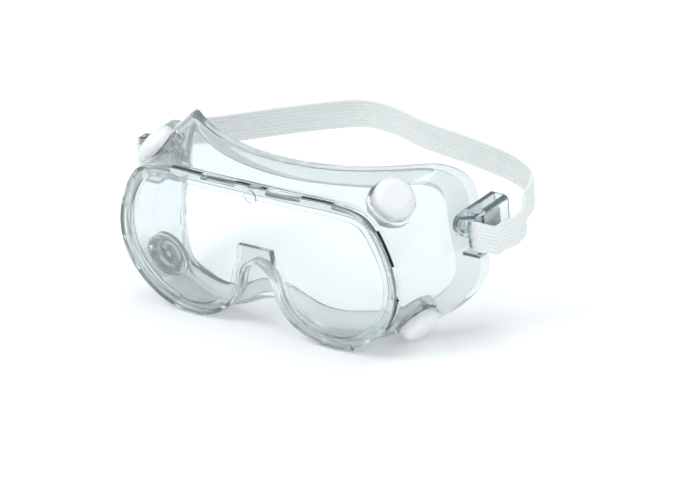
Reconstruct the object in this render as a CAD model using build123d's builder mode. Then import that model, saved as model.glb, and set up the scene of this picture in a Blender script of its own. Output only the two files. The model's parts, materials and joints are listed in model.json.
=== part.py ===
"""Chemical splash goggles: soft clear face body, flat lens, four capped vents and an elastic headband.

The goggles are drawn with the wearer's left at +X, the front at Y = 0 with the lens facing -Y,
and Z = 0 at the middle of the lens.  Before export every piece is moved together, so that
the row's origin is the bottom centre of the whole object's box.
"""
import os
from math import radians, tan

from build123d import *

# ---------------------------------------------------------------- driving dimensions, millimetres
rim_half_width = 80.0
rim_top = 36.3
lobe_bottom = -38.4
rim_depth = 7.0
rim_wall = 2.4
lip_width = 6.0
lip_thickness = 2.2
lens_thickness = 2.0
rear_lip_width = 4.6
rear_lip_thickness = 1.4
nose_box_width = 19.0
nose_box_height = 18.0
nose_box_top = 5.0

wall = 2.2
rim_step = 1.1
flange_width = 8.0
flange_thickness = 2.2
face_tilt = 0.24

tab_length = 18.0
tab_clearance = 0.25

vent_hole_radius = 7.5
vent_boss_radius = 11.6
vent_boss_depth = 4.5
cap_radius = 10.1
cap_height = 5.6
cap_wall = 1.3
air_gap = 0.9

swivel_y = 52.5
swivel_z = 13.0
swivel_face_x = 90.0
stud_radius = 2.5
swivel_clearance = 0.06

tab_shortfall = 0.3
tab_root = 5.0
stud_boss_radius = 5.6
stud_boss_depth = 8.0
hole_reach = 12.0
mark_radius = 3.4
mark_height = 31.0
mark_thickness = 1.2
fit_gap = 0.15
spot_face_reach = 8.0
spot_face_radius = 11.0

seat_flange_radius = 10.6
seat_flange_thickness = 1.5
seat_bore = 6.2
hub_radius = 2.6
spoke_width = 1.4
spoke_depth = 2.5
peg_radius = 1.6
cap_edge_radius = 4.4

clip_front = 48.5
clip_back = 69.0
clip_low = 2.6
clip_high = 24.6
clip_depth = 9.6
clip_base = 2.0
clip_edge_radius = 3.0
arm_reach = 5.5
finger_reach = 5.0
stud_head_radius = 4.2
stud_head_thickness = 1.2
stud_tip_x = 80.2
washer_radius = 4.4
washer_thickness = 1.4

strap_width = 15.0
strap_low = 6.1
strap_tail_y = 65.0
strap_thickness = 1.5
clip_wall = 1.6
bar_y = 45.0
bar_x = 98.15
bar_radius = 1.4
loop_radius = 2.5

# ---------------------------------------------------------------- outlines of the face body
# Half outlines, from the top centre round the wearer's left side to the nose.
front_half = [
    (0.0, rim_top),
    (28.0, rim_top),
    (53.0, rim_top),
    (65.5, rim_top - 3.1),
    (72.5, 25.0),
    (77.8, 13.0),
    (rim_half_width, 0.0),
    (77.8, -12.5),
    (70.8, -24.2),
    (59.0, -33.8),
    (43.5, lobe_bottom),
    (28.0, -36.3),
    (17.6, -30.0),
    (10.8, -20.5),
    (7.6, -10.0),
    (0.0, -4.2),
]
rear_half = [
    (0.0, 41.0),
    (30.0, 41.0),
    (57.0, 42.0),
    (73.0, 40.8),
    (82.0, 33.0),
    (86.5, 16.0),
    (90.5, -4.0),
    (91.0, -17.5),
    (84.5, -30.5),
    (73.0, -37.5),
    (56.0, lobe_bottom),
    (33.0, lobe_bottom),
    (21.0, -36.0),
    (13.0, -32.8),
    (6.5, -30.2),
    (0.0, -29.2),
]
nose_points = 5
# depth of each loft section, how far it has flared to the rear outline, and the same at the nose
skirt_stations = [(rim_depth - 1.0, 0.0, 0.0), (17.0, 0.3, 1.0), (40.0, 0.7, 1.0), (72.0, 1.02, 1.0)]

# how far back the face edge lies at each distance from the middle, at the bottom of the lobes
face_middle = (0.0, 14.5)
face_temple = (62.0, 31.0)
face_side = (82.0, 48.4)
face_end = (99.0, 69.0)

# the headband's way behind the head, from the wearer's left clip to the right one
strap_route = [
    (103.0, 56.0),
    (104.5, 68.0),
    (100.5, 82.0),
    (94.5, 94.0),
    (88.0, 106.0),
    (72.0, 115.0),
    (40.0, 123.0),
    (10.0, 129.5),
    (-14.0, 138.0),
    (-32.0, 138.5),
    (-52.0, 121.0),
    (-70.0, 105.0),
    (-88.0, 88.0),
    (-100.5, 76.0),
    (-102.8, 62.0),
]

# vents: where the axis meets the boss face, and the outward axis, for the wearer's left side
vents = {
    "upper": ((67.2, 21.6, 34.0), (0.62, -0.33, 0.71)),
    "lower": ((73.4, 24.6, -25.4), (0.76, -0.20, -0.62)),
}
sides = {"left": 1.0, "right": -1.0}

# middle of each lens tab on the rim, as distance from the centre and height, and its turn about Y
lens_tabs = [
    (0.0, rim_top, 0.0),
    (38.0, rim_top, 0.0),
    (75.3, 19.2, 66.0),
    (76.9, -14.6, 113.0),
    (43.0, lobe_bottom, 180.0),
]


def closed_outline(half):
    """The half outline and its mirror image, as one closed run of points."""
    mirrored = [(-x, z) for x, z in half[-2:0:-1]]
    return half + mirrored


def inset(points, distance):
    """Move every point inward, square to the line between its two neighbours."""
    moved = []
    for index, (x, z) in enumerate(points):
        before = points[index - 1]
        after = points[(index + 1) % len(points)]
        run = Vector(after[0] - before[0], after[1] - before[1], 0).normalized()
        moved.append((x + run.Y * distance, z - run.X * distance))
    return moved


def skirt_section(flare, nose_flare):
    """The body's outer outline part of the way from the rim to the face."""
    section = []
    start = inset(closed_outline(front_half), rim_step)[:len(front_half)]
    first_nose = len(front_half) - nose_points
    for index, (near, far) in enumerate(zip(start, rear_half)):
        share = nose_flare if index >= first_nose else flare
        section.append((near[0] + share * (far[0] - near[0]), near[1] + share * (far[1] - near[1])))
    return closed_outline(section)


def depth_plane(depth):
    """A plane facing the front, at a depth behind the front face, with +X and +Z as its axes."""
    return Plane.XZ.offset(-depth)


face_plane = Plane(origin=(0, 0, lobe_bottom), x_dir=(1, 0, 0), z_dir=(0, face_tilt, 1))


def face_region(forward, side_x=110.0, far_y=160.0):
    """Sketch of all that lies behind the face contour, moved forward by a distance."""
    square = face_plane.to_local_coords(Vector(0, 1, lobe_bottom)).Y
    middle, temple, cheek, end = [
        Vector(x, (y - forward) * square) for x, y in (face_middle, face_temple, face_side, face_end)
    ]
    with BuildSketch(face_plane) as region:
        with BuildLine():
            ThreePointArc(middle, (temple.X / 2, (temple.Y - middle.Y) * 0.245 + middle.Y), temple)
            ThreePointArc(temple, cheek, end)
            Polyline(end, (side_x, end.Y), (side_x, far_y), (0, far_y))
            mirror(about=Plane.YZ)
        make_face()
    return region.sketch


def skirt_solid(thickness):
    """The flaring body as a solid, inset from its outer face by a thickness."""
    with BuildPart() as solid:
        for depth, flare, nose_flare in skirt_stations:
            with BuildSketch(depth_plane(depth)):
                with BuildLine():
                    Spline(*inset(skirt_section(flare, nose_flare), thickness), periodic=True)
                make_face()
        loft(ruled=True)
    return solid.part


def rim_sketch(inward, behind=0.0):
    """The rim's outline, inset by a distance, on a plane some way behind the front face."""
    with BuildSketch(depth_plane(behind)) as outline:
        with BuildLine():
            Spline(*inset(closed_outline(front_half), inward), periodic=True)
        make_face()
    return outline.sketch


def lens_opening(inward, behind=0.0):
    """The window seen through the rim, with the squared nose box left standing."""
    with BuildSketch(depth_plane(behind)) as opening:
        with BuildLine():
            Spline(*inset(closed_outline(front_half), inward), periodic=True)
        make_face()
        with Locations((0, nose_box_top - nose_box_height / 2)):
            RectangleRounded(nose_box_width, nose_box_height, 2.5, mode=Mode.SUBTRACT)
    return opening.sketch


def vent_plane(level, side):
    """Plane on a vent's boss face, with its normal pointing out of the goggles."""
    (x, y, z), (i, j, k) = vents[level]
    return Plane(origin=(side * x, y, z), z_dir=(side * i, j, k))


def swivel_plane(side, distance):
    """Plane across the clips' common swivel axis, with its normal pointing outward."""
    return Plane(origin=(side * distance, swivel_y, swivel_z), x_dir=(0, 1, 0), z_dir=(side, 0, 0))


def tab_places(sunk):
    """Places on the rim's edge for the lens tabs, on both sides, sunk below the edge by a distance."""
    places = []
    for x, z, turn in lens_tabs:
        for side in (1, -1) if x else (1,):
            edge = Location((side * x, lip_thickness + lens_thickness / 2, z), (0, side * turn, 0))
            places.append(edge * Location((0, 0, -sunk)))
    return places


# ---------------------------------------------------------------- face body, one soft clear moulding
outer_skirt = skirt_solid(0.0)
inner_skirt = skirt_solid(wall)
flange_hole = skirt_solid(wall + flange_width)

with BuildPart() as face_behind:
    extrude(face_region(0.0), amount=150, both=True)
with BuildPart() as flange_behind:
    extrude(face_region(flange_thickness), amount=150, both=True)

# what is hollowed out: all inside the wall in front of the flange, and the flange's own opening
hollow = inner_skirt - flange_behind.part
skirt = outer_skirt - [face_behind.part, hollow, flange_hole]

with BuildPart() as face_body:
    add(skirt)
    # the rim: outer band, front lip, lens groove and rear lip
    rear_lip_start = lip_thickness + lens_thickness
    rear_lip_end = rear_lip_start + rear_lip_thickness
    extrude(rim_sketch(0.0), amount=-rim_depth)
    extrude(lens_opening(lip_width), amount=-lip_thickness, mode=Mode.SUBTRACT)
    with BuildSketch(depth_plane(0)):
        with Locations((0, mark_height)):
            Circle(mark_radius + fit_gap)
    extrude(amount=-lip_thickness, mode=Mode.SUBTRACT)
    extrude(rim_sketch(rim_wall, lip_thickness), amount=-lens_thickness, mode=Mode.SUBTRACT)
    extrude(lens_opening(rear_lip_width, rear_lip_start), amount=-rear_lip_thickness, mode=Mode.SUBTRACT)
    extrude(rim_sketch(rim_wall, rear_lip_end), amount=rear_lip_end - rim_depth, mode=Mode.SUBTRACT)
    # windows in the rim that the lens tabs snap into
    with Locations(tab_places(0.0)):
        Box(tab_length + 2 * tab_clearance, lens_thickness, 4 * rim_wall, mode=Mode.SUBTRACT)
    # thickened pads that carry the vents
    for side in sides.values():
        for level in vents:
            with BuildSketch(vent_plane(level, side)):
                Circle(vent_boss_radius)
    extrude(amount=-vent_boss_depth)
    # clear each pad's face for the vent seat's flange
    for side in sides.values():
        for level in vents:
            with BuildSketch(vent_plane(level, side)):
                Circle(spot_face_radius)
    extrude(amount=spot_face_reach, mode=Mode.SUBTRACT)
    # round bosses that carry the studs of the strap clips
    for side in sides.values():
        with BuildSketch(swivel_plane(side, swivel_face_x)):
            Circle(stud_boss_radius)
    extrude(amount=-stud_boss_depth)
    # holes for the vents and the studs
    for side in sides.values():
        for level in vents:
            with BuildSketch(vent_plane(level, side)):
                Circle(vent_hole_radius)
        with BuildSketch(swivel_plane(side, swivel_face_x)):
            Circle(stud_radius)
    extrude(amount=hole_reach, both=True, mode=Mode.SUBTRACT)
face_body.part.label = "face_body"

# ---------------------------------------------------------------- lens, one flat plate with snap tabs
with BuildPart() as lens:
    extrude(rim_sketch(rim_wall, lip_thickness), amount=-lens_thickness)
    with Locations(tab_places(tab_shortfall)):
        Box(tab_length, lens_thickness, tab_root, align=(Align.CENTER, Align.CENTER, Align.MAX))
    # small round moulding mark at the top centre, flush with the front lip
    with BuildSketch(depth_plane(lip_thickness)):
        with Locations((0, mark_height)):
            Circle(mark_radius)
    extrude(amount=mark_thickness)
lens.part.label = "lens"

# ---------------------------------------------------------------- vents, each a slotted seat and a domed cap
vent_parts = []
for side_name, side in sides.items():
    for level in vents:
        base = vent_plane(level, side)
        with BuildPart() as seat:
            # flange that rests on the boss, and the tube through it
            with BuildSketch(base):
                Circle(seat_flange_radius)
                Circle(seat_bore, mode=Mode.SUBTRACT)
            extrude(amount=seat_flange_thickness)
            with BuildSketch(base):
                Circle(vent_hole_radius)
                Circle(seat_bore, mode=Mode.SUBTRACT)
            extrude(amount=-vent_boss_depth)
            # hub held by three spokes, which leave the air its way through
            with BuildSketch(base):
                Circle(hub_radius)
                with PolarLocations(seat_bore / 2, 3):
                    Rectangle(seat_bore + 1.0, spoke_width)
                Circle(peg_radius, mode=Mode.SUBTRACT)
            extrude(amount=-spoke_depth)
        seat.part.label = f"vent_seat_{level}_{side_name}"
        vent_parts.append(seat.part)

        dome_start = base.offset(seat_flange_thickness + air_gap)
        with BuildPart() as cap:
            with BuildSketch(dome_start):
                Circle(cap_radius)
            extrude(amount=cap_height)
            fillet(cap.faces().sort_by(Axis(dome_start.origin, dome_start.z_dir))[-1].edges(), cap_edge_radius)
            with BuildSketch(dome_start):
                Circle(cap_radius - cap_wall)
            extrude(amount=cap_height - cap_wall, taper=30, mode=Mode.SUBTRACT)
            # peg that snaps into the seat's hub, with a shoulder that keeps the air gap
            with BuildSketch(base):
                Circle(hub_radius)
            extrude(amount=seat_flange_thickness + air_gap + cap_height - cap_wall / 2)
            with BuildSketch(base):
                Circle(peg_radius)
            extrude(amount=-spoke_depth)
        cap.part.label = f"vent_cap_{level}_{side_name}"
        vent_parts.append(cap.part)

# ---------------------------------------------------------------- strap clips, their studs and washers
clip_parts = []
clip_middle = ((clip_front + clip_back) / 2 - swivel_y, (clip_low + clip_high) / 2 - swivel_z)
clip_length = clip_back - clip_front
clip_height = clip_high - clip_low
bar_edge_x = bar_x + bar_radius
for side_name, side in sides.items():
    inner_x = swivel_face_x + swivel_clearance
    with BuildPart() as clip:
        # tunnel that the strap runs through, open at the front and the back
        with BuildSketch(swivel_plane(side, inner_x)):
            with Locations((clip_middle[0], side * clip_middle[1])):
                Rectangle(clip_length, clip_height)
        extrude(amount=clip_depth)
        outer_face = clip.faces().sort_by(Axis.X)[-1 if side > 0 else 0]
        fillet(outer_face.edges().filter_by(Axis.Y), clip_edge_radius)
        with BuildSketch(swivel_plane(side, inner_x + clip_base)):
            with Locations((clip_middle[0], side * clip_middle[1])):
                Rectangle(clip_length + 2, clip_height - 2 * clip_wall)
        extrude(amount=clip_depth - clip_base - clip_wall, mode=Mode.SUBTRACT)
        # two arms that reach forward to the bar; the upper one ends in a finger tab
        for low, finger in ((clip_low, 0.0), (clip_high - clip_wall, finger_reach)):
            with BuildSketch(Plane.XY.offset(low)):
                with BuildLine():
                    Polyline(
                        (side * inner_x, clip_front + 1),
                        (side * inner_x, clip_front - arm_reach),
                        (side * (inner_x + 2), clip_front - arm_reach - finger),
                        (side * bar_edge_x, clip_front - arm_reach),
                        (side * bar_edge_x, clip_front + 1),
                        close=True,
                    )
                make_face()
            extrude(amount=clip_wall)
        with BuildSketch(Plane.XY.offset(clip_low)):
            with Locations((side * bar_x, bar_y)):
                Circle(bar_radius)
        extrude(amount=clip_height)
        # hole that turns on the stud
        with BuildSketch(swivel_plane(side, inner_x)):
            Circle(stud_radius + swivel_clearance)
        extrude(amount=clip_base, mode=Mode.SUBTRACT)
    clip.part.label = f"strap_clip_{side_name}"

    head_x = inner_x + clip_base + swivel_clearance
    with BuildPart() as stud:
        with BuildSketch(swivel_plane(side, head_x)):
            Circle(stud_head_radius)
        extrude(amount=stud_head_thickness)
        with BuildSketch(swivel_plane(side, head_x)):
            Circle(stud_radius)
        extrude(amount=stud_tip_x - head_x)
    stud.part.label = f"clip_stud_{side_name}"

    with BuildPart() as washer:
        with BuildSketch(swivel_plane(side, swivel_face_x - stud_boss_depth)):
            Circle(washer_radius)
            Circle(stud_radius, mode=Mode.SUBTRACT)
        extrude(amount=-washer_thickness)
    washer.part.label = f"stud_washer_{side_name}"
    clip_parts += [clip.part, stud.part, washer.part]

# ---------------------------------------------------------------- elastic headband
def strap_corners():
    """The strap's way from its end in the left clip, round the head, to its end in the right clip."""
    near, far = bar_x - loop_radius, bar_x + loop_radius
    fold_y = bar_y - loop_radius
    left = [(near, strap_tail_y), (near, fold_y), (far, fold_y)]
    right = [(-x, y) for x, y in reversed(left)]
    return left + strap_route + right


def bend_radii(corners):
    """A radius for each corner: as large as the runs beside it allow, or the loop round a bar."""
    radii = []
    for before, corner, after in zip(corners, corners[1:], corners[2:]):
        run_in = Vector(*corner) - Vector(*before)
        run_out = Vector(*after) - Vector(*corner)
        half_turn = radians(run_in.get_angle(run_out)) / 2
        share = 0.45 * min(run_in.length, run_out.length) / tan(half_turn)
        radii.append(share if abs(corner[1] - bar_y) > 2 * loop_radius else loop_radius - 0.01)
    return radii


corners = strap_corners()
radii = bend_radii(corners)


def strap_side(across):
    """The strap's middle line moved square to itself, to the left of its run for a positive distance."""
    runs = [(Vector(*after) - Vector(*before)).normalized() for before, after in zip(corners, corners[1:])]
    lefts = [Vector(-run.Y, run.X) for run in runs]
    moved = [Vector(*corners[0]) + lefts[0] * across]
    side_radii = []
    for index, radius in enumerate(radii):
        before, after = lefts[index], lefts[index + 1]
        moved.append(Vector(*corners[index + 1]) + (before + after) * (across / (1 + before.dot(after))))
        turn = 1 if before.cross(after).Z > 0 else -1
        side_radii.append(radius - turn * across)
    moved.append(Vector(*corners[-1]) + lefts[-1] * across)
    return FilletPolyline(*moved, radius=side_radii)


with BuildPart() as headband:
    with BuildSketch(Plane.XY.offset(strap_low)):
        with BuildLine():
            left_side = strap_side(strap_thickness / 2)
            right_side = strap_side(-strap_thickness / 2)
            Line(left_side @ 0, right_side @ 0)
            Line(left_side @ 1, right_side @ 1)
        make_face()
    extrude(amount=strap_width)
headband.part.label = "headband"

# ---------------------------------------------------------------- placing and export
pieces = [face_body.part, lens.part, *vent_parts, *clip_parts, headband.part]
box = Compound(pieces).bounding_box()
to_row = Location((-box.center().X, -box.center().Y, -box.min.Z))
print("row shift", to_row.position)
os.makedirs("parts", exist_ok=True)
for piece in pieces:
    export_step(piece.moved(to_row), f"parts/{piece.label}.step")
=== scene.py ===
"""Looks of the splash goggles: clear soft body, ribbed elastic, clear clips, plain white studio."""
import json
from math import cos, pi, radians, sin, sqrt, tan

import bmesh
import bpy
import numpy as np
from mathutils import Matrix, Vector

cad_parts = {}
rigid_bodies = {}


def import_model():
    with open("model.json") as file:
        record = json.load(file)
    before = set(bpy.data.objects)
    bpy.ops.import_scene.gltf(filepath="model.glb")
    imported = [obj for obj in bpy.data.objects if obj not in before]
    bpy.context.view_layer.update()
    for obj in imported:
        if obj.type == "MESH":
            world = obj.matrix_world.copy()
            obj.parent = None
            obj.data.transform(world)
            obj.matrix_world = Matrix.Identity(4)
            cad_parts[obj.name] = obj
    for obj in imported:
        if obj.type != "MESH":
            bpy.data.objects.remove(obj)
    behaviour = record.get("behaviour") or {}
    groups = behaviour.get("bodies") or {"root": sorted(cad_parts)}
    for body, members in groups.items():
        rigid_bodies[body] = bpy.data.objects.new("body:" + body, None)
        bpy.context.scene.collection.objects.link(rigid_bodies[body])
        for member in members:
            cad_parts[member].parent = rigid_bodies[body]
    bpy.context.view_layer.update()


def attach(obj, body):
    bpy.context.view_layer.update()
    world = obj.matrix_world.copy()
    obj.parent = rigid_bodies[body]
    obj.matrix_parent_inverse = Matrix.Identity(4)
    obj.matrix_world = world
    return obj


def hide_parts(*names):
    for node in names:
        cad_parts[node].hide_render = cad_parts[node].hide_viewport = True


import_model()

# ---------------------------------------------------------------- sizes and places, in millimetres
# Shapes are drawn in the goggles' own frame: X = 0 in the middle, Y = 0 at the front face, Z = 0
# at the middle of the lens. row_shift moves them into the row's frame.
row_shift = np.array([-0.8251, -69.5165, 38.5161])
millimetre = 0.001

front_half = [
    (0.0, 36.3), (28.0, 36.3), (53.0, 36.3), (65.5, 33.2), (72.5, 25.0), (77.8, 13.0), (80.0, 0.0),
    (77.8, -12.5), (70.8, -24.2), (59.0, -33.8), (43.5, -38.4), (28.0, -36.3), (17.6, -30.0),
    (10.8, -20.5), (7.6, -10.0), (0.0, -4.2),
]
rear_half = [
    (0.0, 41.0), (30.0, 41.0), (57.0, 42.0), (73.0, 40.8), (82.0, 33.0), (86.5, 16.0), (90.5, -4.0),
    (91.0, -17.5), (84.5, -30.5), (73.0, -37.5), (56.0, -38.4), (33.0, -38.4), (21.0, -36.0),
    (13.0, -32.8), (6.5, -30.2), (0.0, -29.2),
]
nose_points = 5
rim_depth = 7.0
rim_step = 0.9
rim_wall = 2.3
lobe_bottom = -38.4
wall = 2.2
flange_thickness = 2.2
face_tilt = 0.24
flare_stations = [(6.0, 0.0), (17.0, 0.3), (40.0, 0.7), (72.0, 1.02)]
lip_width = 6.0
groove_front = 2.1
groove_back = 4.3
rear_lip_width = 4.6
rear_lip_end = 5.6
nose_box_half = 9.5
nose_box_top = 5.0

nose_flare_start = 6.0
nose_flare_length = 11.0

# the face contour: one arc in the middle, one on each wing, and where they blend
middle_arc = [(0.0, 14.5), (31.0, 18.54), (62.0, 31.0)]
wing_arc = [(62.0, 31.0), (82.0, 48.4), (99.0, 69.0)]
arc_blend_start = 54.0
arc_blend_width = 16.0

# how far ahead of the flange's faces the outer and the inner wall stop
outer_stop = 1.1
inner_stop = 0.9
corner_setback = 0.3

samples_per_segment = 9
outer_shares = np.linspace(0.04, 1.0, 18)
inner_shares = np.linspace(1.0, 0.03, 13)
grid_depths = np.linspace(6.0, 76.0, 90)
first_face_depth = 30.0
face_rounds = 40

# each tab's X and Z on the rim, and its turn in degrees
lens_tabs = [
    (0.0, 36.3, 0.0), (38.0, 36.3, 0.0), (75.3, 19.2, 66.0), (76.9, -14.6, 113.0), (43.0, -38.4, 180.0),
]
tab_window = (18.3, 2.1, 9.6)
tab_depth = 3.2

vents = {
    "upper": ((67.2, 21.6, 34.0), (0.62, -0.33, 0.71)),
    "lower": ((73.4, 24.6, -25.4), (0.76, -0.20, -0.62)),
}
vent_pad_radius = 11.6
vent_pad_depth = 4.5
vent_hole_radius = 7.6
spot_face_radius = 11.0
spot_face_lift = 0.001
spot_face_reach = 8.0
hole_reach = 12.0
swivel_y = 52.5
swivel_z = 13.0
swivel_face_x = 90.0
stud_boss_radius = 5.6
stud_boss_depth = 8.0
stud_hole_radius = 2.6
stud_hole_reach = 2.0
body_sharp_angle = 40
band_sharp_angle = 60

strap_route = [
    (103.2, 52.0), (102.2, 59.0), (104.6, 66.0), (103.4, 77.0), (96.6, 85.0), (95.6, 94.0),
    (89.0, 105.5), (72.0, 115.0), (40.0, 123.0), (10.0, 129.5), (-14.0, 138.0), (-32.0, 138.5),
    (-52.0, 121.0), (-70.0, 105.0), (-88.0, 88.0), (-100.5, 76.0), (-102.8, 62.0),
]
bar_x = 98.15
bar_y = 45.0
loop_radius = 2.5
strap_tail_y = 65.0
strap_middle_z = 13.6
strap_width = 15.0
strap_step = 0.7
fold_slack = 0.01
corner_share = 0.45
corner_samples = 14

strap_ribs = 8
samples_per_rib = 6
rib_valley = 0.32
rib_height = 0.42
rib_roundness = 0.7
edge_half_thickness = 0.3
width_wave = 0.012
width_wave_rate = 1.7
lift_wave = 0.5
lift_wave_length = 17.0
drop_depth = 5.5
drop_start = 24.0
drop_length = 14.0
rise_start = 46.0
rise_length = 45.0


# ---------------------------------------------------------------- shape helpers
def ease(share):
    """A share from 0 to 1 that starts and ends gently."""
    return share * share * (3 - 2 * share)


def closed_outline(half):
    """The half outline and its mirror image, as one closed run of points."""
    return half + [(-x, z) for x, z in half[-2:0:-1]]


def inset(points, distance):
    """Move every point inward, square to the line between its two neighbours."""
    points = np.array(points)
    run = np.roll(points, -1, axis=0) - np.roll(points, 1, axis=0)
    run /= np.linalg.norm(run, axis=1)[:, None]
    return points + distance * np.c_[run[:, 1], -run[:, 0]]


def smooth_loop(points):
    """Samples on a closed cubic spline through the points, the same number in every segment."""
    points = np.array(points)
    count = len(points)
    following = np.roll(points, -1, axis=0)
    chord = np.linalg.norm(following - points, axis=1)
    system = np.zeros((count, count))
    right = np.zeros((count, 2))
    for i in range(count):
        before, after = chord[i - 1], chord[i]
        system[i, i - 1] += before
        system[i, i] += 2 * (before + after)
        system[i, (i + 1) % count] += after
        right[i] = 6 * ((following[i] - points[i]) / after - (points[i] - points[i - 1]) / before)
    bend = np.linalg.solve(system, right)
    samples = []
    for i in range(count):
        step = chord[i]
        for part in np.arange(samples_per_segment) / samples_per_segment:
            near, far = 1 - part, part
            curve = (near ** 3 - near) * bend[i] + (far ** 3 - far) * bend[(i + 1) % count]
            samples.append(near * points[i] + far * following[i] + curve * step ** 2 / 6)
    return np.array(samples)


flare_curve = np.polyfit(*zip(*flare_stations), 3)


def skirt_ring(depth, distance):
    """The skirt's outline at a depth, inset by a distance."""
    start = inset(closed_outline(front_half), rim_step)[:len(front_half)]
    rear = np.array(rear_half)
    flare = np.polyval(flare_curve, depth)
    along = min(max((depth - nose_flare_start) / nose_flare_length, 0.0), 1.0)
    shares = np.full(len(start), flare)
    shares[-nose_points:] = ease(along)
    section = start + shares[:, None] * (rear - start)
    return smooth_loop(inset(closed_outline([tuple(p) for p in section]), distance))


def skirt_grid(distance):
    """The skirt's rings at every depth, inset by a distance."""
    return np.array([skirt_ring(depth, distance) for depth in grid_depths])


def at_depths(grid, depths):
    """Points of a skirt surface, each at its own depth."""
    spacing = grid_depths[1] - grid_depths[0]
    place = (np.clip(depths, grid_depths[0], grid_depths[-1]) - grid_depths[0]) / spacing
    low = np.minimum(place.astype(int), len(grid_depths) - 2)
    share = (place - low)[:, None]
    index = np.arange(grid.shape[1])
    flat = (1 - share) * grid[low, index] + share * grid[low + 1, index]
    return np.c_[flat[:, 0], depths, flat[:, 1]]


def arc_depth(x, first, middle, last):
    """Depth on the circular arc through three points, at a distance from the middle plane."""
    (ax, ay), (bx, by), (cx, cy) = first, middle, last
    turn = 2 * (ax * (by - cy) + bx * (cy - ay) + cx * (ay - by))
    a_square = ax * ax + ay * ay
    b_square = bx * bx + by * by
    c_square = cx * cx + cy * cy
    centre_x = (a_square * (by - cy) + b_square * (cy - ay) + c_square * (ay - by)) / turn
    centre_y = (a_square * (cx - bx) + b_square * (ax - cx) + c_square * (bx - ax)) / turn
    radius = sqrt((ax - centre_x) ** 2 + (ay - centre_y) ** 2)
    return centre_y - np.sqrt(np.maximum(radius ** 2 - (x - centre_x) ** 2, 0.0))


def face_depth(x, z):
    """Depth of the face contour at a distance from the middle plane and a height."""
    x = np.abs(x)
    blend = ease(np.clip((x - arc_blend_start) / arc_blend_width, 0.0, 1.0))
    in_middle = arc_depth(x, *middle_arc)
    on_wing = arc_depth(x, *wing_arc)
    return (1 - blend) * in_middle + blend * on_wing + (z - lobe_bottom) * face_tilt


def face_ring(grid, forward):
    """Where a skirt surface meets the face contour, moved forward by a distance."""
    depths = np.full(grid.shape[1], first_face_depth)
    for _ in range(face_rounds):
        points = at_depths(grid, depths)
        depths = 0.5 * depths + 0.5 * (face_depth(points[:, 0], points[:, 2]) - forward)
    return at_depths(grid, depths)


def rim_ring(distance, depth):
    """The rim's outline, inset by a distance, at a depth."""
    flat = smooth_loop(inset(closed_outline(front_half), distance))
    return np.c_[flat[:, 0], np.full(len(flat), depth), flat[:, 1]]


def opening_ring(distance, depth):
    """The lens opening's edge, which stands up round the squared nose box."""
    ring = rim_ring(distance, depth)
    over_nose = (np.abs(ring[:, 0]) < nose_box_half) & (ring[:, 2] < nose_box_top)
    ring[over_nose, 2] = nose_box_top + distance - lip_width
    return ring


def to_row(points):
    """Points in the goggles' own frame, in millimetres, taken to the row's frame, in metres."""
    return (np.asarray(points, float) + row_shift) * millimetre


def mesh_object(name, points, faces, smooth_angle=None):
    """A mesh object with its faces turned outward, smooth up to an angle if one is given."""
    mesh = bpy.data.meshes.new(name)
    mesh.from_pydata([tuple(p) for p in to_row(points)], [], faces)
    mesh.validate()
    made = bmesh.new()
    made.from_mesh(mesh)
    bmesh.ops.recalc_face_normals(made, faces=made.faces)
    made.to_mesh(mesh)
    made.free()
    obj = bpy.data.objects.new(name, mesh)
    bpy.context.collection.objects.link(obj)
    if smooth_angle:
        shade(obj, smooth_angle)
    return obj


def shade(obj, angle):
    """Smooth shading, with the edges sharper than an angle left sharp."""
    obj.data.polygons.foreach_set("use_smooth", [True] * len(obj.data.polygons))
    obj.data.set_sharp_from_angle(angle=radians(angle))


def bridge(rings, close_rings):
    """Faces between neighbouring rings of equal length."""
    size = len(rings[0])
    last = len(rings) if close_rings else len(rings) - 1
    faces = []
    for row in range(last):
        below = ((row + 1) % len(rings)) * size
        for i in range(size):
            j = (i + 1) % size
            faces.append((row * size + i, row * size + j, below + j, below + i))
    return faces


def axes_for(direction):
    """Turn that takes +Z to a direction."""
    return Vector(direction).to_track_quat("Z", "Y").to_matrix().to_4x4()


def cylinder_points(origin, direction, radius, low, high, sides=64):
    """A cylinder along a direction, from low to high as measured from its origin."""
    turn = np.array(axes_for(direction).to_3x3())
    angles = np.arange(sides) * 2 * pi / sides
    rings = []
    for height in (low, high):
        local = np.c_[radius * np.cos(angles), radius * np.sin(angles), np.full(sides, height)]
        rings.append(local @ turn.T + np.array(origin))
    faces = bridge(rings, False) + [tuple(range(sides)), tuple(range(2 * sides - 1, sides - 1, -1))]
    return np.vstack(rings), faces


def box_points(middle, size, turn_y):
    """A box round a middle point, turned about Y by some degrees."""
    turn = np.array(Matrix.Rotation(radians(turn_y), 3, "Y"))
    corners = np.array([(x, y, z) for x in (-0.5, 0.5) for y in (-0.5, 0.5) for z in (-0.5, 0.5)]) * size
    faces = [(0, 1, 3, 2), (4, 6, 7, 5), (0, 4, 5, 1), (2, 3, 7, 6), (0, 2, 6, 4), (1, 5, 7, 3)]
    return corners @ turn.T + np.array(middle), faces


def joined(name, solids):
    """Several solids as one mesh object."""
    points, faces = [], []
    for solid_points, solid_faces in solids:
        faces += [tuple(i + len(points) for i in face) for face in solid_faces]
        points += [tuple(p) for p in solid_points]
    return mesh_object(name, points, faces)


def combine(target, name, solids, operation):
    """Add solids to a mesh, or cut them out of it."""
    tool = joined(name, solids)
    modifier = target.modifiers.new(name, "BOOLEAN")
    modifier.operation = operation
    modifier.solver = "EXACT"
    modifier.use_self = True
    modifier.object = tool
    graph = bpy.context.evaluated_depsgraph_get()
    result = bpy.data.meshes.new_from_object(target.evaluated_get(graph))
    target.modifiers.clear()
    target.data = result
    bpy.data.objects.remove(tool)


# ---------------------------------------------------------------- materials
noise_detail = 3.0
relief_height = 0.0004


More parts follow.
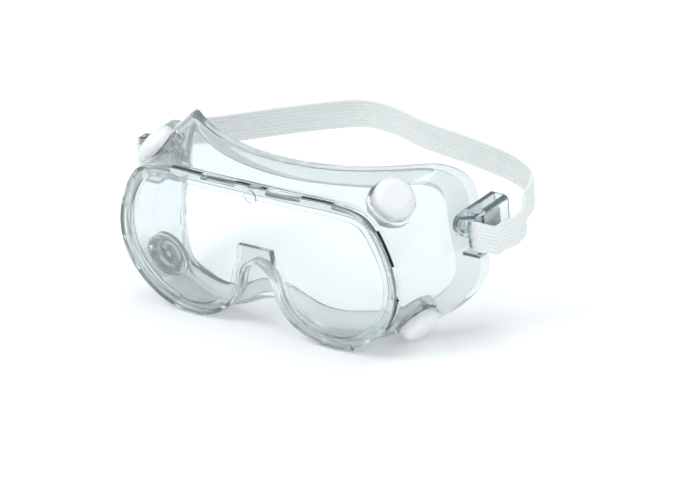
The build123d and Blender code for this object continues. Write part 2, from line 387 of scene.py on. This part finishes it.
def material(name, color, roughness=0.2, transmission=0.0, ior=1.49, noise=0.0, scale=200.0, bump=0.0,
             absorb=None, density=0.0, variation=0.04):
    """A principled material with a little procedural unevenness in colour, gloss and surface."""
    made = bpy.data.materials.new(name)
    made.use_nodes = True
    nodes, links = made.node_tree.nodes, made.node_tree.links
    shader = nodes["Principled BSDF"]
    shader.inputs["Roughness"].default_value = roughness
    shader.inputs["Transmission Weight"].default_value = transmission
    shader.inputs["IOR"].default_value = ior
    place = nodes.new("ShaderNodeTexCoord")
    cloud = nodes.new("ShaderNodeTexNoise")
    cloud.inputs["Scale"].default_value = scale
    cloud.inputs["Detail"].default_value = noise_detail
    links.new(place.outputs["Object"], cloud.inputs["Vector"])
    tint = nodes.new("ShaderNodeMix")
    tint.data_type = "RGBA"
    tint.inputs[6].default_value = (*[c * (1 - variation) for c in color], 1.0)
    tint.inputs[7].default_value = (*color, 1.0)
    links.new(cloud.outputs["Fac"], tint.inputs[0])
    links.new(tint.outputs[2], shader.inputs["Base Color"])
    if noise:
        gloss = nodes.new("ShaderNodeMapRange")
        gloss.inputs["To Min"].default_value = max(roughness - noise, 0.0)
        gloss.inputs["To Max"].default_value = roughness + noise
        links.new(cloud.outputs["Fac"], gloss.inputs["Value"])
        links.new(gloss.outputs["Result"], shader.inputs["Roughness"])
    if bump:
        relief = nodes.new("ShaderNodeBump")
        relief.inputs["Strength"].default_value = bump
        relief.inputs["Distance"].default_value = relief_height
        links.new(cloud.outputs["Fac"], relief.inputs["Height"])
        links.new(relief.outputs["Normal"], shader.inputs["Normal"])
    if absorb:
        volume = nodes.new("ShaderNodeVolumeAbsorption")
        volume.inputs["Color"].default_value = (*absorb, 1.0)
        volume.inputs["Density"].default_value = density
        links.new(volume.outputs["Volume"], nodes["Material Output"].inputs["Volume"])
    return made


soft_vinyl = material("soft_vinyl", (0.95, 0.975, 0.975), 0.05, 0.90, 1.44, noise=0.02, scale=60.0,
                      bump=0.04, absorb=(0.55, 0.76, 0.79), density=9.0, variation=0.02)
lens_clear = material("lens_clear", (0.97, 0.99, 1.0), 0.01, 1.0, 1.50, scale=20.0,
                      absorb=(0.45, 0.78, 0.90), density=16.0, variation=0.01)
cap_white = material("cap_white", (1.0, 1.0, 1.0), 0.25, 0.10, 1.45, noise=0.05, scale=120.0, variation=0.02)
seat_white = material("seat_white", (0.96, 0.98, 0.97), 0.12, 0.85, 1.45, noise=0.05, scale=120.0)
clip_clear = material("clip_clear", (0.93, 0.97, 0.98), 0.10, 0.94, 1.46, scale=80.0,
                      absorb=(0.40, 0.64, 0.72), density=22.0, variation=0.02)

# ---------------------------------------------------------------- face body: one closed soft moulding
outer = skirt_grid(0.0)
inner = skirt_grid(wall)
skirt_start = np.full(outer.shape[1], rim_depth)
outer_end = face_ring(outer, outer_stop)
inner_end = face_ring(inner, flange_thickness + inner_stop)

# each pair is an inset and a depth: the lens opening's edge, the rim's front edge and its outer side
opening_edge = [(lip_width, 0.5), (lip_width - 0.15, 0.15), (lip_width - 0.5, 0.0)]
front_edge = [(0.9, 0.0), (0.4, 0.1), (0.1, 0.4), (0.0, 0.9)]
outer_side = [(0.0, 3.5), (0.0, 6.3), (0.2, 6.8), (0.45, 7.0)]
# each pair is an inset and a distance forward: from the outer wall, round the face flange's inner
# edge, to the inner wall
flange_section = [
    (0.3, 0.4), (1.0, 0.05), (1.8, 0.0), (5.0, 0.0), (9.2, 0.0), (9.9, 0.4), (10.2, 1.1),
    (9.9, 1.8), (9.2, 2.2), (5.0, 2.2), (3.2, 2.2), (2.5, 2.5),
]
rings = [opening_ring(*point) for point in opening_edge]
rings += [rim_ring(*point) for point in front_edge + outer_side]
for share in outer_shares:
    rings.append(at_depths(outer, skirt_start + share * (outer_end[:, 1] - skirt_start)))
for distance, forward in flange_section:
    rings.append(face_ring(skirt_grid(distance), forward))
for share in inner_shares:
    rings.append(at_depths(inner, skirt_start + share * (inner_end[:, 1] - skirt_start)))
rings += [rim_ring(rim_wall, rim_depth - corner_setback), rim_ring(rim_wall, rear_lip_end)]
rings += [opening_ring(rear_lip_width, rear_lip_end), opening_ring(rear_lip_width, groove_back)]
rings += [rim_ring(rim_wall, groove_back), rim_ring(rim_wall, groove_front)]
rings.append(opening_ring(lip_width, groove_front))
body = mesh_object("body_moulding", np.vstack(rings), bridge(rings, True))

pads, spots, holes = [], [], []
for side in (1.0, -1.0):
    for (x, y, z), (i, j, k) in vents.values():
        origin, direction = (side * x, y, z), (side * i, j, k)
        pads.append(cylinder_points(origin, direction, vent_pad_radius, -vent_pad_depth, 0.0))
        spots.append(cylinder_points(origin, direction, spot_face_radius, spot_face_lift, spot_face_reach))
        holes.append(cylinder_points(origin, direction, vent_hole_radius, -hole_reach, hole_reach))
    hub = (side * swivel_face_x, swivel_y, swivel_z)
    pads.append(cylinder_points(hub, (side, 0, 0), stud_boss_radius, -stud_boss_depth, 0.0))
    holes.append(cylinder_points(hub, (side, 0, 0), stud_hole_radius, -hole_reach, stud_hole_reach))
    for x, z, turn in lens_tabs:
        # the middle tab has no twin
        if x or side > 0:
            holes.append(box_points((side * x, tab_depth, z), tab_window, side * turn))
combine(body, "pads", pads, "UNION")
combine(body, "spots", spots, "DIFFERENCE")
combine(body, "holes", holes, "DIFFERENCE")
shade(body, body_sharp_angle)
body.data.materials.clear()
body.data.materials.append(soft_vinyl)
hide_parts("face_body")
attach(body, "goggles")


# ---------------------------------------------------------------- headband: ribbed elastic
def strap_line():
    """The strap's middle line with its corners rounded: even points, their distances, its length."""
    near, far = bar_x - loop_radius, bar_x + loop_radius
    fold_y = bar_y - loop_radius
    left = [(near, strap_tail_y), (near, fold_y), (far, fold_y)]
    corners = [np.array(p) for p in left + strap_route + [(-x, y) for x, y in reversed(left)]]
    line = [corners[0]]
    for before, corner, after in zip(corners, corners[1:], corners[2:]):
        run_in, run_out = corner - before, after - corner
        size_in, size_out = np.linalg.norm(run_in), np.linalg.norm(run_out)
        run_in, run_out = run_in / size_in, run_out / size_out
        turn = run_in[0] * run_out[1] - run_in[1] * run_out[0]
        angle = np.arctan2(turn, run_in @ run_out)
        half = abs(tan(angle / 2))
        sharp = abs(corner[1] - bar_y) <= 2 * loop_radius
        radius = loop_radius - fold_slack if sharp else corner_share * min(size_in, size_out) / half
        start = corner - run_in * radius * half
        side = np.array([-run_in[1], run_in[0]]) * np.sign(angle)
        centre = start + side * radius
        for part in np.linspace(0, 1, corner_samples):
            swing = angle * part
            arm = start - centre
            reach = np.array([cos(swing) * arm[0] - sin(swing) * arm[1],
                              sin(swing) * arm[0] + cos(swing) * arm[1]])
            line.append(centre + reach)
    line.append(corners[-1])
    line = np.array(line)
    steps = np.r_[0, np.cumsum(np.linalg.norm(np.diff(line, axis=0), axis=1))]
    even = np.arange(0, steps[-1], strap_step)
    points = np.c_[np.interp(even, steps, line[:, 0]), np.interp(even, steps, line[:, 1])]
    return points, even, steps[-1]


line, along, strap_length = strap_line()
run = np.gradient(line, axis=0)
run /= np.linalg.norm(run, axis=1)[:, None]
across = np.c_[-run[:, 1], run[:, 0]]
heights = np.linspace(-0.5, 0.5, strap_ribs * samples_per_rib + 1)
rib = rib_valley + rib_height * np.abs(np.sin(pi * strap_ribs * (heights + 0.5))) ** rib_roundness
rib[0] = rib[-1] = edge_half_thickness
section = [(h, t) for h, t in zip(heights, rib)] + [(h, -t) for h, t in zip(heights[::-1], rib[::-1])]
strap_rings = []
for point, side, distance in zip(line, across, along):
    # the elastic is a little wider in places; its outer run drops below the clip, then comes level
    width = strap_width * (1 + width_wave * sin(distance * width_wave_rate))
    down = np.clip((distance - drop_start) / drop_length, 0.0, 1.0)
    drop = down - np.clip((distance - rise_start) / rise_length, 0.0, 1.0)
    lift = lift_wave * sin(distance / lift_wave_length) - drop_depth * ease(drop)
    strap_rings.append(np.array([
        (point[0] + side[0] * t, point[1] + side[1] * t, strap_middle_z + lift + h * width)
        for h, t in section
    ]))
size = len(section)
last_ring = (len(strap_rings) - 1) * size
strap_faces = bridge(strap_rings, False)
strap_faces += [tuple(range(size)), tuple(range(last_ring + size - 1, last_ring - 1, -1))]
band = mesh_object("headband_webbing", np.vstack(strap_rings), strap_faces, band_sharp_angle)
webbing = material("webbing", (0.96, 0.975, 0.96), 0.85, scale=900.0, bump=0.7, variation=0.12)
band.data.materials.append(webbing)
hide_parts("headband")
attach(band, "left_clip")

# ---------------------------------------------------------------- materials on the carried CAD pieces
surfaces = {
    "lens": lens_clear, "vent_cap": cap_white, "vent_seat": seat_white,
    "strap_clip": clip_clear, "clip_stud": clip_clear, "stud_washer": clip_clear,
}
for obj in list(bpy.data.objects):
    if obj.type != "MESH" or obj in (body, band):
        continue
    for start, surface in surfaces.items():
        if obj.name.startswith(start):
            obj.data.materials.clear()
            obj.data.materials.append(surface)

# ---------------------------------------------------------------- floor and light, in metres
floor_half = 9
floor_gap = 0.0005
floor_glow = 0.17
sky_color = (0.78, 0.88, 0.92, 1.0)
sky_strength = 0.55
light_target = Vector((0, 0, 0.04))

floor_corners = [(-floor_half, -floor_half, 0), (floor_half, -floor_half, 0),
                 (floor_half, floor_half, 0), (-floor_half, floor_half, 0)]
floor_mesh = bpy.data.meshes.new("floor")
floor_mesh.from_pydata(floor_corners, [], [(0, 1, 2, 3)])
floor = bpy.data.objects.new("floor", floor_mesh)
bpy.context.collection.objects.link(floor)
floor.location.z = -floor_gap
floor_white = material("floor_white", (0.95, 0.95, 0.95), 0.9, scale=3.0, variation=0.005)
glow = floor_white.node_tree.nodes["Principled BSDF"].inputs
glow["Emission Color"].default_value = (1.0, 1.0, 1.0, 1.0)
glow["Emission Strength"].default_value = floor_glow
floor_mesh.materials.append(floor_white)

world = bpy.data.worlds.new("studio")
bpy.context.scene.world = world
world.use_nodes = True
sky = world.node_tree.nodes["Background"].inputs
sky["Color"].default_value = sky_color
sky["Strength"].default_value = sky_strength


def soft_light(name, place, size, power):
    """A round area lamp that points at the goggles."""
    lamp = bpy.data.lights.new(name, "AREA")
    lamp.shape = "DISK"
    lamp.size = size
    lamp.energy = power
    made = bpy.data.objects.new(name, lamp)
    made.location = place
    made.rotation_euler = (light_target - Vector(place)).to_track_quat("-Z", "Y").to_euler()
    bpy.context.collection.objects.link(made)


soft_light("key_light", (-0.9, -1.0, 1.5), 1.2, 15)
soft_light("top_light", (0.2, 0.4, 1.9), 1.6, 13)
soft_light("side_light", (1.4, -0.6, 0.9), 0.9, 4)

# ---------------------------------------------------------------- camera, in the goggles' own frame
camera_right = np.array([0.8021, 0.5920, -0.0784])
camera_up = np.array([-0.1957, 0.3848, 0.9021])
camera_distance = 2133.0
aim_right = 45.28
aim_up = 3.53
focal_length = 233.3
view_reach = 20.0

camera_right /= np.linalg.norm(camera_right)
camera_up -= camera_right * (camera_up @ camera_right)
camera_up /= np.linalg.norm(camera_up)
place = np.cross(camera_right, camera_up) * camera_distance
aim = camera_right * aim_right + camera_up * aim_up
back = (place - aim) / np.linalg.norm(place - aim)
right = camera_right - back * (camera_right @ back)
right /= np.linalg.norm(right)
up = np.cross(back, right)
camera = bpy.data.objects.new("camera", bpy.data.cameras.new("camera"))
camera.data.lens = focal_length
camera.data.clip_end = view_reach
turn = Matrix([tuple(row) for row in np.c_[right, up, back]]).to_4x4()
camera.matrix_world = Matrix.Translation(Vector(to_row(place))) @ turn
bpy.context.collection.objects.link(camera)
bpy.context.scene.camera = camera
bpy.context.scene.view_settings.view_transform = "Standard"

# light passes through many clear walls in a row
bpy.context.scene.cycles.transmission_bounces = 24
bpy.context.scene.cycles.transparent_max_bounces = 14
bpy.context.scene.cycles.max_bounces = 26
